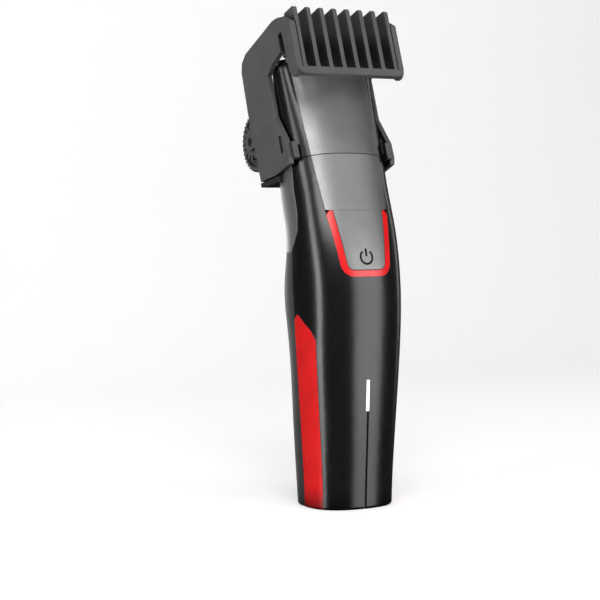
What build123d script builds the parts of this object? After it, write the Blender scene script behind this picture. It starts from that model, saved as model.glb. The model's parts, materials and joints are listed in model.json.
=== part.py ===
from build123d import *
import os
from math import acos, cos, pi, radians, sin, tan

# Beard trimmer with its adjustable comb guard fitted, standing on its flat base.
# Millimetres. Origin: centre of the base. +Z up, the power button faces -Y, +X is the right side.

# ---------------------------------------------------------------- driving dimensions
SHELL_WALL = 2.2
PANEL_THICK = 1.1          # front panel, trim and side inserts, let into the shell
PANEL_FLOOR = 1.2          # depth of the pockets they sit in
SEAM_GAP = 0.12            # visible gap between neighbouring covers
HEAD_GAP = 0.28            # visible gap where the head meets the body
NECK_LEAN = 20.0           # degrees the neck, head and guard lean back
SEAM_FRONT = (-2.7, 124.3)  # y, z of the front end of the joint between body and head
NECK_DEPTH = 28.0
NECK_HALF_WIDTH = 19.5
SECTION_POWER = 2.5        # 2 is an ellipse, larger is squarer
SECTION_POINTS = 16

LEAN_SIN = sin(radians(NECK_LEAN))
LEAN_COS = cos(radians(NECK_LEAN))
NECK_BACK = (SEAM_FRONT[0] + NECK_DEPTH * LEAN_COS, SEAM_FRONT[1] - NECK_DEPTH * LEAN_SIN)

# Side profile of the body (y, z) from the base to the neck joint.
FRONT_PROFILE = [(-14.0, 0.0), (-15.3, 30.0), (-16.3, 58.0), (-15.7, 82.0), (-9.4, 104.5), SEAM_FRONT]
BACK_PROFILE = [
    (14.2, 0.0),
    (16.3, 30.0),
    (17.6, 58.0),
    (19.9, 76.5),
    (17.2, 90.0),
    (20.4, 104.0),
    NECK_BACK,
]
# Half widths of the body (percent of the way up, half width).
WIDTH_PROFILE = [
    (0.0, 16.4),
    (25.0, 17.8),
    (50.0, 19.5),
    (65.0, 20.0),
    (82.0, 19.6),
    (100.0, NECK_HALF_WIDTH),
]
BODY_SECTIONS = 15
BASE_ROUNDING = 1.0
# Height above the neck joint, front depth, back depth and half width of each head section.
HEAD_HEIGHT = 36.0
HEAD_FACE_DEPTH = 7.5      # how far back the front plate may wrap
HEAD_STATIONS = [
    (0.0, 0.0, NECK_DEPTH, NECK_HALF_WIDTH),
    (9.0, 0.6, 25.2, 19.4),
    (18.0, 1.2, 21.8, 19.3),
    (27.0, 1.8, 18.6, 19.3),
    (HEAD_HEIGHT, 2.4, 15.4, 19.3),
]

# Neck frame: x across, y back from the front of the joint, z along the lean.
NECK = Plane(origin=(0, SEAM_FRONT[0], SEAM_FRONT[1]), x_dir=(1, 0, 0), z_dir=(0, LEAN_SIN, LEAN_COS))

# Front panel, button and trim, seen from the front (half widths at heights).
PANEL_TOP_HALF = 14.0
TRIM_TOP_Z = 104.5
TRIM_TOP_HALF = 12.3
TRIM_LOW_Z = 86.0
TRIM_LOW_HALF = 9.9
TRIM_BOTTOM_Z = 81.6
TRIM_WIDTH = 2.2
BUTTON_GAP = 0.2
BUTTON_CORNER = 2.6

LIGHT_LOW_Z = 34.7
LIGHT_HIGH_Z = 45.7
LIGHT_WIDTH = 1.3
LIGHT_GAP = 0.15
GROOVE_WIDTH = 1.0
GROOVE_DEPTH = 0.6

# Button and switch.
BUTTON_FLOOR = 1.75
BUTTON_RIB_Z = 88.3
BUTTON_RIB_Y = -11.95
PLUNGER_RADIUS = 1.2
PLUNGER_LENGTH = 0.85

# Base, jack and board.
BASE_THICK = 2.6
BASE_RECESS = 1.1
BASE_SCREW_X = 9.0
JACK_Y = 1.0
JACK_MOUTH_RADIUS = 2.2
JACK_LOW = 1.2
JACK_RADIUS = 3.0
JACK_HEIGHT = 12.0
JACK_BORE_RADIUS = 1.3
JACK_BORE_LENGTH = 10.0
SCREW_RADIUS = 0.9
SCREW_HEAD_RADIUS = 1.7
SCREW_HEAD_HEIGHT = 0.9
BOARD_FRONT_Y = -10.3
BOARD_BACK_Y = -9.1
BOARD_THICK = 1.2
BOARD_LOW_Z = 22.0
BOARD_HIGH_Z = 90.5
BOARD_HALF_WIDTH = 7.5
BOARD_SCREWS = [(-5.0, 28.0), (5.0, 60.0)]
SWITCH_HEIGHT = 1.1
LIGHT_BACK_Y = -11.6
CHASSIS_BACK_Y = -7.1
CHASSIS_THICK = 1.2
CHASSIS_LOW_Z = 10.0
CHASSIS_HIGH_Z = 72.0
BATTERY_Y = 3.0
BATTERY_RADIUS = 7.0
BATTERY_LENGTH = 50.0
BATTERY_LOW_Z = 22.5
TAB_THICK = 0.2

# Drive train in the neck.
MOTOR_AXIS_DEPTH = 15.5
MOTOR_RADIUS = 10.2
MOTOR_FLAT = 7.7
MOTOR_TOP = -6.9
MOTOR_LENGTH = 24.0
PLATE_THICK = 2.4
SPIGOT_TOP = 3.5
MOTOR_BOSS_RADIUS = 3.0
MOTOR_SCREWS = [(-6.2, 15.5), (6.2, 15.5)]
END_CAP_THICK = 2.4
ECCENTRIC_LOW = -3.3
ECCENTRIC_TOP = 0.5
ECCENTRIC_PIN_LENGTH = 5.0
SHAFT_RADIUS = 1.0
ECCENTRIC_OFFSET = 1.0
ECCENTRIC_PIN_RADIUS = 1.0
LEVER_PIVOT_UP = 19.0
LEVER_FRONT = 8.4
LEVER_BACK = 10.6
LEVER_TOP = 39.0
LEVER_END_RADIUS = 1.5
FORK_INNER = 3.3
FORK_OUTER = 4.8
FORK_LOW = 2.5
FORK_LENGTH = 4.0
PIVOT_RADIUS = 1.2
RUNNING_GAP = 0.04

# Blade set: the interface plane between fixed blade and cutter leans forward in the neck frame.
BLADE_LEAN = 25.0
BLADE_TIP = (2.6, 46.4)
BLADE_HALF_WIDTH = 19.0
BLADE_LENGTH = 13.0
HEAD_WALL = 2.0
DECK_LOW = 30.6
DECK_THICK = 2.4
CARRIER_BACK = 11.8
FIXED_BLADE_THICK = 0.9
CUTTER_THICK = 0.8
CUTTER_SETBACK = 0.7
CUTTER_LENGTH = 8.0
TOOTH_PITCH = 1.2
TOOTH_SLOT = 0.55
TOOTH_LENGTH = 2.6
FIXED_TEETH = 30
CUTTER_TEETH = 26

# Comb guard, in the neck frame.
COMB_FRONT = -11.5
COMB_LOW = 25.0
COMB_BAR = 2.6
ARM_INNER = 19.8
ARM_THICK = 1.8
COMB_TOOTH_COUNT = 8
COMB_TOOTH_PITCH = 5.3
COMB_TOOTH_THICK = 1.5
COMB_TOOTH_TOP = 50.3
COMB_GROOVE_X = 19.35       # shallow groove between the frame and the outermost teeth
COMB_GROOVE_WIDTH = 0.5
COMB_GROOVE_DEPTH = 0.6

# Zoom wheel: drum with a pinion at each end, in mesh with a rack on each arm.
WHEEL_DEPTH = 34.0
WHEEL_UP = 17.4
WHEEL_RADIUS = 11.0
WHEEL_HALF_WIDTH = 17.3
KNURL_COUNT = 38
KNURL_DEPTH = 0.85
GEAR_MODULE = 0.8
PINION_TEETH = 15
PINION_END = 19.0
EAR_INNER = 19.1
EAR_RADIUS = 3.2
PRESSURE_ANGLE = 20.0
BACKLASH = 0.2
AXLE_RADIUS = 1.5
RACK_INNER = 17.5
RACK_WIDTH = 1.4
RACK_FRONT = 20.5
RACK_ROOT = WHEEL_DEPTH - GEAR_MODULE * PINION_TEETH / 2 - 1.2 * GEAR_MODULE
RACK_HIGH = 32.0
RACK_LOW = -2.2
SHOE_INNER = 18.0
SHOE_GAP = 0.2
GUARD_LIFT = 32.0          # how far the guard slides up past the head, zoom included
SADDLE_HALF_WIDTH = 21.2

os.makedirs("parts", exist_ok=True)


def save(part, name):
    """Label a finished piece and write it to its own STEP file."""
    part.label = name
    export_step(part, f"parts/{name}.step")


# ---------------------------------------------------------------- shared forms
def neck_plane(up):
    """Plane across the neck, at a height above the body's top joint."""
    return NECK.offset(up)


def neck_side_plane(x=0.0):
    """Plane facing +X whose own x runs back and whose own y runs along the neck."""
    return Plane(origin=NECK.from_local_coords((x, 0, 0)), x_dir=(0, LEAN_COS, -LEAN_SIN), z_dir=(1, 0, 0))


def neck_front_plane(back):
    """Plane facing forward across the neck: own x is across, own y is along the neck."""
    return Plane(
        origin=NECK.from_local_coords((0, back, 0)), x_dir=(1, 0, 0), z_dir=(0, -LEAN_COS, LEAN_SIN)
    )


def rounded_section(half_width, half_depth):
    """Flat face with a superellipse outline, centred on the origin."""

    def bend(value):
        return abs(value) ** (2 / SECTION_POWER) * (1 if value > 0 else -1)

    angles = [2 * pi * step / SECTION_POINTS for step in range(SECTION_POINTS)]
    outline = [(half_width * bend(cos(a)), half_depth * bend(sin(a))) for a in angles]
    with BuildSketch() as section:
        with BuildLine():
            Spline(*outline, periodic=True)
        make_face()
    return section.sketch


front_line = Spline(*[(0, y, z) for y, z in FRONT_PROFILE])
back_line = Spline(*[(0, y, z) for y, z in BACK_PROFILE])
width_line = Spline(*[(0, percent, width) for percent, width in WIDTH_PROFILE])


def body_form(inset):
    """Solid inside the body's outer surface, drawn in by inset all round."""
    with BuildPart() as form:
        for number in range(BODY_SECTIONS):
            way_up = number / (BODY_SECTIONS - 1)
            front = front_line @ way_up
            across = back_line @ way_up - front
            half_width = (width_line @ way_up).Z
            section_plane = Plane(
                origin=front + across / 2, x_dir=(1, 0, 0), z_dir=(0, -across.Z, across.Y)
            )
            with BuildSketch(section_plane):
                add(rounded_section(half_width - inset, across.length / 2 - inset))
        loft()
    return form.part


def head_form(inset, low=0.0):
    """Solid inside the head's outer surface, drawn in by inset at the sides."""
    with BuildPart() as form:
        for up, front, back, half_width in HEAD_STATIONS:
            middle = NECK.from_local_coords((0, (front + back) / 2, up if up > 0 else low))
            with BuildSketch(Plane(origin=middle, x_dir=(1, 0, 0), z_dir=NECK.z_dir)):
                add(rounded_section(half_width - inset, (back - front) / 2 - inset))
        loft()
    return form.part


with BuildPart() as rounded_body:
    add(body_form(0.0))
    fillet(rounded_body.edges().group_by(Axis.Z)[0], BASE_ROUNDING)
body_outer = rounded_body.part
body_pocket = body_form(PANEL_FLOOR)
body_panel = body_form(PANEL_THICK)
body_inner = body_form(SHELL_WALL)
body_lining = body_form(SHELL_WALL + 0.1)


# ---------------------------------------------------------------- outlines of the covers
WIDE = 60.0                # past the body's sides, for cutting tools

# Side view of the split between front shell, back cover and upper back panel (y, z).
SPLIT_POINTS = [(0.0, -1.0), (0.6, 30.0), (1.4, 60.0), (1.8, 72.0), (2.6, 82.0), (3.5, 90.0)]
PANEL_SPLIT = [(3.5, 90.0), (1.6, 93.0), (-0.2, 97.5), (0.6, 103.0), (3.4, 111.5), (5.6, 123.0)]
COVER_TOP = (22.0, 89.0)   # where the back cover's top edge reaches the back


def side_region(points, amount=WIDE, x=0.0, both=True):
    """Solid made from a side-view outline (y, z), extruded across the body."""
    with BuildPart() as region:
        with BuildSketch(Plane.YZ.offset(x)):
            with BuildLine():
                Polyline(*points, close=True)
            make_face()
        extrude(amount=amount, both=both)
    return region.part


def back_cover_region(gap):
    """Everything behind the split line and below the upper back panel."""
    edge = [(y + gap, z) for y, z in SPLIT_POINTS]
    edge[-1] = (edge[-1][0], edge[-1][1] - gap)
    top = COVER_TOP[1] - gap
    return side_region([*edge, (COVER_TOP[0], top), (WIDE, top), (WIDE, -1.0)])


def back_panel_region(gap):
    """Everything behind the split line and above the back cover."""
    edge = [(y + gap, z) for y, z in PANEL_SPLIT]
    edge[0] = (edge[0][0], edge[0][1] + gap)
    low = COVER_TOP[1] + gap
    return side_region([*edge, (WIDE, 140.0), (WIDE, low), (COVER_TOP[0], low)])


def side_insert_region(side, gap):
    """Tapering side insert: its top edge runs down towards the front."""
    outline = [
        (SPLIT_POINTS[0][0] - gap, SPLIT_POINTS[0][1]),
        (SPLIT_POINTS[1][0] - gap, SPLIT_POINTS[1][1]),
        (SPLIT_POINTS[2][0] - gap, SPLIT_POINTS[2][1]),
        (1.5 - gap, 66.5 - gap),
        (-0.6, 68.6 - gap),
        (-7.4 + gap, 63.2 - gap),
        (-9.3 + gap, 59.6),
        (-8.9 + gap, -1.0),
    ]
    with BuildPart() as region:
        with BuildSketch(Plane.YZ) as profile:
            with BuildLine():
                Polyline(*outline, close=True)
            make_face()
            fillet(profile.vertices().sort_by(Axis.Y)[-4:], 1.2)
        extrude(amount=side * WIDE)
    return region.part


def front_region(right_half, round_corners=0.0):
    """Solid in front of the body's middle, from the right half of a front-view outline (x, z)."""
    outline = right_half + [(-x, z) for x, z in reversed(right_half)]
    with BuildPart() as region:
        with BuildSketch(Plane.XZ) as profile:
            with BuildLine():
                Polyline(*outline, close=True)
            make_face()
            if round_corners:
                fillet(profile.vertices().group_by(Axis.Y)[0], round_corners)
        extrude(amount=WIDE)
    return region.part


def tongue_half(z, gap=0.0):
    """Half width of the button's tongue at a height: the trim's outer edge less its width."""
    slope = (TRIM_TOP_HALF - TRIM_LOW_HALF) / (TRIM_TOP_Z - TRIM_LOW_Z)
    return TRIM_LOW_HALF + slope * (z - TRIM_LOW_Z) - TRIM_WIDTH - gap


TONGUE_LOW_Z = TRIM_BOTTOM_Z + TRIM_WIDTH
TRIM_CORNER = BUTTON_CORNER + TRIM_WIDTH

trim_outside = front_region(
    [
        (TRIM_TOP_HALF - 1.3, TRIM_TOP_Z),
        (TRIM_TOP_HALF, TRIM_TOP_Z - 1.6),
        (TRIM_LOW_HALF - 0.5, TRIM_BOTTOM_Z),
    ],
    TRIM_CORNER,
)
tongue_hole = front_region(
    [(tongue_half(TRIM_TOP_Z + 1), TRIM_TOP_Z + 1), (tongue_half(TONGUE_LOW_Z), TONGUE_LOW_Z)],
    BUTTON_CORNER,
)
tongue = front_region(
    [
        (tongue_half(TRIM_TOP_Z, BUTTON_GAP), TRIM_TOP_Z),
        (tongue_half(TONGUE_LOW_Z, BUTTON_GAP), TONGUE_LOW_Z + BUTTON_GAP),
    ],
    BUTTON_CORNER - BUTTON_GAP,
)
panel_outline = front_region(
    [(PANEL_TOP_HALF + 0.3, 128.0), (TRIM_TOP_HALF + 0.1, TRIM_TOP_Z + SEAM_GAP / 2)]
)
panel_pocket = front_region(
    [
        (PANEL_TOP_HALF + 0.3 + SEAM_GAP, 128.0),
        (TRIM_TOP_HALF + 0.1 + SEAM_GAP, TRIM_TOP_Z),
        (TRIM_LOW_HALF - 0.5, TRIM_BOTTOM_Z),
    ],
    TRIM_CORNER,
)

# ---------------------------------------------------------------- body covers
outer_layer = body_outer - body_pocket
panel_layer = body_outer - body_panel
button_layer = body_outer - body_form(BUTTON_FLOOR)

with BuildPart() as groove_region:
    with BuildSketch(Plane.XZ):
        with Locations((0, LIGHT_LOW_Z / 2)):
            Rectangle(GROOVE_WIDTH, LIGHT_LOW_Z)
    extrude(amount=WIDE)

shell_cuts = [
    panel_pocket & outer_layer,
    tongue_hole & button_layer,
    side_insert_region(-1, 0.0) & outer_layer,
    side_insert_region(1, 0.0) & outer_layer,
    groove_region.part & (body_outer - body_form(GROOVE_DEPTH)),
]

with BuildPart() as front_shell:
    add(body_outer)
    add(body_inner, mode=Mode.SUBTRACT)
    add(back_cover_region(0.0), mode=Mode.SUBTRACT)
    add(back_panel_region(0.0), mode=Mode.SUBTRACT)
    for cut in shell_cuts:
        add(cut, mode=Mode.SUBTRACT)
    # Opening behind the button, so that its rib reaches the switch.
    with BuildSketch(Plane.XZ):
        with Locations((0, BUTTON_RIB_Z)):
            RectangleRounded(7.0, 7.0, 1.5)
    extrude(amount=WIDE, mode=Mode.SUBTRACT)
    # Window for the charge light.
    with BuildSketch(Plane.XZ):
        with Locations((0, (LIGHT_LOW_Z + LIGHT_HIGH_Z) / 2)):
            Rectangle(LIGHT_WIDTH + 2 * LIGHT_GAP, LIGHT_HIGH_Z - LIGHT_LOW_Z + 2 * LIGHT_GAP)
    extrude(amount=WIDE, mode=Mode.SUBTRACT)
save(front_shell.part, "front_shell")

with BuildPart() as back_cover:
    add(body_outer)
    add(body_inner, mode=Mode.SUBTRACT)
    add(back_cover_region(SEAM_GAP), mode=Mode.INTERSECT)
save(back_cover.part, "back_cover")

with BuildPart() as back_panel:
    add(body_outer)
    add(body_inner, mode=Mode.SUBTRACT)
    add(back_panel_region(SEAM_GAP), mode=Mode.INTERSECT)
save(back_panel.part, "back_panel")

with BuildPart() as front_panel:
    add(panel_layer)
    add(panel_outline, mode=Mode.INTERSECT)
save(front_panel.part, "front_panel")

with BuildPart() as red_trim:
    add(panel_layer)
    add(trim_outside, mode=Mode.INTERSECT)
    add(tongue_hole, mode=Mode.SUBTRACT)
save(red_trim.part, "red_trim")

for side, name in ((-1, "side_insert_left"), (1, "side_insert_right")):
    with BuildPart() as side_insert:
        add(panel_layer)
        add(side_insert_region(side, SEAM_GAP), mode=Mode.INTERSECT)
    save(side_insert.part, name)

# Button: the tongue of the front panel, with a rib behind the power symbol.
with BuildPart() as power_button:
    add(panel_layer)
    add(tongue, mode=Mode.INTERSECT)
    with BuildSketch(Plane.XZ.offset(-BUTTON_RIB_Y)):
        with Locations((0, BUTTON_RIB_Z)):
            Circle(1.4)
    extrude(amount=1.6)
save(power_button.part, "power_button")

# Light pipe: its outer face follows the shell.
with BuildPart() as charge_light:
    with BuildSketch(Plane.XZ.offset(-LIGHT_BACK_Y)):
        with Locations((0, (LIGHT_LOW_Z + LIGHT_HIGH_Z) / 2)):
            Rectangle(LIGHT_WIDTH, LIGHT_HIGH_Z - LIGHT_LOW_Z)
    extrude(amount=WIDE)
    add(body_outer, mode=Mode.INTERSECT)
save(charge_light.part, "charge_light")


# ---------------------------------------------------------------- base and charging jack
def lining_slab(plane, thick):
    """Slice of the space inside the covers, from a plane upwards."""
    with BuildPart() as slab:
        with BuildSketch(plane):
            Rectangle(WIDE, WIDE * 2)
        extrude(amount=thick)
        add(body_lining, mode=Mode.INTERSECT)
    return slab.part


with BuildPart() as base_cap:
    add(lining_slab(Plane.XY, BASE_THICK))
    with Locations((0, JACK_Y, 0)):
        Cylinder(JACK_MOUTH_RADIUS, BASE_THICK * 3, mode=Mode.SUBTRACT)
    with BuildSketch(Plane.XY.offset(JACK_LOW)):
        with Locations((0, JACK_Y)):
            Circle(JACK_RADIUS + 0.05)
    extrude(amount=BASE_THICK, mode=Mode.SUBTRACT)
    with BuildSketch(Plane.XY):
        with Locations((-BASE_SCREW_X, JACK_Y), (BASE_SCREW_X, JACK_Y)):
            Circle(SCREW_RADIUS + 0.15)
    extrude(amount=BASE_THICK, mode=Mode.SUBTRACT)
    with BuildSketch(Plane.XY):
        with Locations((-BASE_SCREW_X, JACK_Y), (BASE_SCREW_X, JACK_Y)):
            Circle(SCREW_HEAD_RADIUS + 0.2)
    extrude(amount=BASE_RECESS, mode=Mode.SUBTRACT)
save(base_cap.part, "base_cap")

with BuildPart() as charging_jack:
    with BuildSketch(Plane.XY.offset(JACK_LOW)):
        with Locations((0, JACK_Y)):
            Circle(JACK_RADIUS)
    extrude(amount=JACK_HEIGHT)
    with BuildSketch(Plane.XY.offset(JACK_LOW)):
        with Locations((0, JACK_Y)):
            Circle(JACK_BORE_RADIUS)
    extrude(amount=JACK_BORE_LENGTH, mode=Mode.SUBTRACT)
save(charging_jack.part, "charging_jack")

with BuildPart() as jack_terminals:
    with BuildSketch(Plane.XY.offset(JACK_LOW + JACK_HEIGHT)):
        with Locations((-1.6, JACK_Y), (1.6, JACK_Y)):
            Rectangle(0.4, 1.8)
    extrude(amount=4.0)
save(jack_terminals.part, "jack_terminals")


def screw(plane, spots, head_radius, head_height, shank_radius, shank_length):
    """Pan-head screws: the heads stand on the plane, the shanks run below it."""
    with BuildPart() as screws:
        for x, y in spots:
            with BuildSketch(plane):
                with Locations((x, y)):
                    Circle(head_radius)
            extrude(amount=head_height)
            with BuildSketch(plane):
                with Locations((x, y)):
                    Circle(shank_radius)
            extrude(amount=-shank_length)
            with BuildSketch(plane.offset(head_height)):
                with Locations((x, y)):
                    Rectangle(head_radius * 1.2, head_radius * 0.24)
                    Rectangle(head_radius * 0.24, head_radius * 1.2)
            extrude(amount=-head_height * 0.5, mode=Mode.SUBTRACT)
    return screws.part


under_plane = Plane(origin=(0, 0, BASE_RECESS), x_dir=(1, 0, 0), z_dir=(0, 0, -1))
base_spots = [(-BASE_SCREW_X, -JACK_Y), (BASE_SCREW_X, -JACK_Y)]
base_screws = screw(under_plane, base_spots, SCREW_HEAD_RADIUS, SCREW_HEAD_HEIGHT, SCREW_RADIUS, 7.5)
save(base_screws, "base_screws")


# ---------------------------------------------------------------- electronics and battery
with BuildPart() as circuit_board:
    with BuildSketch(Plane.XZ.offset(-BOARD_BACK_Y)):
        with Locations((0, (BOARD_LOW_Z + BOARD_HIGH_Z) / 2)):
            Rectangle(BOARD_HALF_WIDTH * 2, BOARD_HIGH_Z - BOARD_LOW_Z)
        with Locations(*BOARD_SCREWS):
            Circle(SCREW_RADIUS + 0.1, mode=Mode.SUBTRACT)
    extrude(amount=BOARD_THICK)
save(circuit_board.part, "circuit_board")

with BuildPart() as charge_led:
    with BuildSketch(Plane.XZ.offset(-BOARD_FRONT_Y)):
        with Locations((0, (LIGHT_LOW_Z + LIGHT_HIGH_Z) / 2)):
            Rectangle(1.2, 2.2)
    extrude(amount=0.8)
save(charge_led.part, "charge_led")

with BuildPart() as tact_switch:
    with BuildSketch(Plane.XZ.offset(-BOARD_FRONT_Y)):
        with Locations((0, BUTTON_RIB_Z)):
            Rectangle(4.6, 3.2)
    extrude(amount=SWITCH_HEIGHT)
    with BuildSketch(Plane.XZ.offset(-BOARD_FRONT_Y + SWITCH_HEIGHT)):
        with Locations((0, BUTTON_RIB_Z)):
            Circle(PLUNGER_RADIUS + 0.05)
    extrude(amount=-(SWITCH_HEIGHT - 0.25), mode=Mode.SUBTRACT)
save(tact_switch.part, "tact_switch")

with BuildPart() as switch_plunger:
    with BuildSketch(Plane.XZ.offset(-BUTTON_RIB_Y - 0.05)):
        with Locations((0, BUTTON_RIB_Z)):
            Circle(PLUNGER_RADIUS)
    extrude(amount=-PLUNGER_LENGTH)
save(switch_plunger.part, "switch_plunger")

with BuildPart() as battery:
    with BuildSketch(Plane.XY.offset(BATTERY_LOW_Z)):
        with Locations((0, BATTERY_Y)):
            Circle(BATTERY_RADIUS)
    extrude(amount=BATTERY_LENGTH)
    fillet(battery.edges().filter_by(GeomType.CIRCLE), 0.6)
save(battery.part, "battery")

with BuildPart() as battery_tabs:
    for height in (BATTERY_LOW_Z - TAB_THICK, BATTERY_LOW_Z + BATTERY_LENGTH):
        with BuildSketch(Plane.XY.offset(height)):
            with Locations((0, (BOARD_BACK_Y + BATTERY_Y + 2.0) / 2)):
                Rectangle(5.0, BATTERY_Y + 2.0 - BOARD_BACK_Y)
        extrude(amount=TAB_THICK)
save(battery_tabs.part, "battery_tabs")

# Chassis: a plate behind the board, with ribs that hold the battery and feet for the base screws.
with BuildPart() as chassis:
    with BuildSketch(Plane.XZ.offset(-CHASSIS_BACK_Y)):
        with Locations((0, (CHASSIS_LOW_Z + CHASSIS_HIGH_Z) / 2)):
            Rectangle(BOARD_HALF_WIDTH * 2, CHASSIS_HIGH_Z - CHASSIS_LOW_Z)
    extrude(amount=CHASSIS_THICK)
    with BuildSketch(Plane.XZ.offset(-BOARD_BACK_Y)):
        with Locations(*BOARD_SCREWS):
            Circle(2.0)
    extrude(amount=-(CHASSIS_BACK_Y - BOARD_BACK_Y))
    for height in (32.0, 48.0, 64.0):
        with BuildSketch(Plane.XY.offset(height)):
            with Locations((0, (CHASSIS_BACK_Y + BATTERY_Y) / 2)):
                Rectangle(20.0, BATTERY_Y - CHASSIS_BACK_Y)
        extrude(amount=2.0)
    with BuildSketch(Plane.XY.offset(BASE_THICK + 0.1)):
        with Locations((-BASE_SCREW_X, JACK_Y), (BASE_SCREW_X, JACK_Y)):
            Circle(2.2)
        with Locations((0, CHASSIS_BACK_Y - CHASSIS_THICK / 2)):
            Rectangle(BOARD_HALF_WIDTH * 2, CHASSIS_THICK)
        for side in (-1, 1):
            with Locations((side * (BASE_SCREW_X - 1.8), (CHASSIS_BACK_Y + JACK_Y) / 2 - 0.6)):
                Rectangle(2.0, JACK_Y - CHASSIS_BACK_Y + 0.6)
    extrude(amount=CHASSIS_LOW_Z - BASE_THICK + 2.0)
    with BuildSketch(Plane.XY.offset(BATTERY_LOW_Z - 1.0)):
        with Locations((0, BATTERY_Y)):
            Circle(BATTERY_RADIUS + 0.1)
    extrude(amount=BATTERY_LENGTH + 2.0, mode=Mode.SUBTRACT)
    with BuildSketch(Plane.XZ.offset(-CHASSIS_BACK_Y - 1.0)):
        with Locations((0, BATTERY_LOW_Z)):
            Rectangle(6.0, 1.6)
        with Locations(*BOARD_SCREWS):
            Circle(SCREW_RADIUS + 0.02)
    extrude(amount=6.0, mode=Mode.SUBTRACT)
    with BuildSketch(Plane.XY):
        with Locations((-BASE_SCREW_X, JACK_Y), (BASE_SCREW_X, JACK_Y)):
            Circle(SCREW_RADIUS + 0.02)
    extrude(amount=12.0, mode=Mode.SUBTRACT)
save(chassis.part, "chassis")

board_screws = screw(
    Plane.XZ.offset(-BOARD_FRONT_Y), BOARD_SCREWS, 1.5, 0.7, SCREW_RADIUS, BOARD_THICK + 1.6
)
save(board_screws, "board_screws")

# ---------------------------------------------------------------- motor and its plate in the neck
SPIGOT_HALF = (16.6, 10.4)
SPIGOT_DEPTH = 13.3

with BuildPart() as neck_plate:
    add(lining_slab(neck_plane(MOTOR_TOP), PLATE_THICK))
    with BuildSketch(neck_plane(MOTOR_TOP)):
        with Locations((0, SPIGOT_DEPTH)):
            add(rounded_section(*SPIGOT_HALF))
    extrude(amount=SPIGOT_TOP - MOTOR_TOP)
    with BuildSketch(neck_plane(MOTOR_TOP + PLATE_THICK)):
        with Locations((0, SPIGOT_DEPTH)):
            add(rounded_section(SPIGOT_HALF[0] - 1.2, SPIGOT_HALF[1] - 1.2))
    extrude(amount=SPIGOT_TOP - MOTOR_TOP, mode=Mode.SUBTRACT)
    with BuildSketch(neck_plane(MOTOR_TOP)):
        with Locations((0, MOTOR_AXIS_DEPTH)):
            Circle(MOTOR_BOSS_RADIUS + 0.1)
        with Locations(*MOTOR_SCREWS):
            Circle(SCREW_RADIUS + 0.1)
    extrude(amount=PLATE_THICK, mode=Mode.SUBTRACT)
save(neck_plate.part, "neck_plate")

with BuildPart() as neck_gasket:
    with BuildSketch(neck_plane(1.0)):
        with Locations((0, SPIGOT_DEPTH)):
            add(rounded_section(SPIGOT_HALF[0] + 0.5, SPIGOT_HALF[1] + 0.5))
            add(rounded_section(*SPIGOT_HALF), mode=Mode.SUBTRACT)
    extrude(amount=1.2)
save(neck_gasket.part, "neck_gasket")

with BuildPart() as motor:
    with BuildSketch(neck_plane(MOTOR_TOP)):
        with Locations((0, MOTOR_AXIS_DEPTH)):
            Circle(MOTOR_RADIUS)
            Rectangle(MOTOR_RADIUS * 2, MOTOR_FLAT * 2, mode=Mode.INTERSECT)
    extrude(amount=-MOTOR_LENGTH)
    with BuildSketch(neck_plane(MOTOR_TOP)):
        with Locations((0, MOTOR_AXIS_DEPTH)):
            Circle(MOTOR_BOSS_RADIUS)
    extrude(amount=2.0)
    with BuildSketch(neck_plane(MOTOR_TOP + 2.0)):
        with Locations((0, MOTOR_AXIS_DEPTH)):
            Circle(SHAFT_RADIUS + RUNNING_GAP)
    extrude(amount=-6.0, mode=Mode.SUBTRACT)
    with BuildSketch(neck_plane(MOTOR_TOP)):
        with Locations(*MOTOR_SCREWS):
            Circle(SCREW_RADIUS + 0.02)
    extrude(amount=-3.0, mode=Mode.SUBTRACT)
save(motor.part, "motor")

with BuildPart() as motor_end_cap:
    with BuildSketch(neck_plane(MOTOR_TOP - MOTOR_LENGTH)):
        with Locations((0, MOTOR_AXIS_DEPTH)):
            Circle(MOTOR_RADIUS - 0.5)
            Rectangle(MOTOR_RADIUS * 2, MOTOR_FLAT * 2 - 1.0, mode=Mode.INTERSECT)
    extrude(amount=-END_CAP_THICK)
save(motor_end_cap.part, "motor_end_cap")

motor_screws = screw(
    neck_plane(MOTOR_TOP + PLATE_THICK),
    MOTOR_SCREWS,
    SCREW_HEAD_RADIUS,
    SCREW_HEAD_HEIGHT,
    SCREW_RADIUS,
    PLATE_THICK + 2.6,
)
save(motor_screws, "motor_screws")

cap_back = NECK.from_local_coords((0, MOTOR_AXIS_DEPTH, MOTOR_TOP - MOTOR_LENGTH - END_CAP_THICK - 0.1))
with BuildPart() as motor_leads:
    for side in (-1, 1):
        with BuildLine() as run:
            Spline(
                (side * 2.5, BOARD_BACK_Y + 0.1, 79.0),
                (side * 3.2, (BOARD_BACK_Y + cap_back.Y) / 2, 80.5),
                (side * 3.5, cap_back.Y, cap_back.Z),
                tangents=((0, 1, 0), (0, LEAN_SIN, LEAN_COS)),
            )
        with BuildSketch(Plane(origin=run.line @ 0, z_dir=run.line % 0)):
            Circle(0.55)
        sweep(path=run.line)
save(motor_leads.part, "motor_leads")

with BuildPart() as motor_shaft:
    with BuildSketch(neck_plane(MOTOR_TOP - 3.5)):
        with Locations((0, MOTOR_AXIS_DEPTH)):
            Circle(SHAFT_RADIUS)
    extrude(amount=ECCENTRIC_TOP - MOTOR_TOP + 3.3)
save(motor_shaft.part, "motor_shaft")

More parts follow.
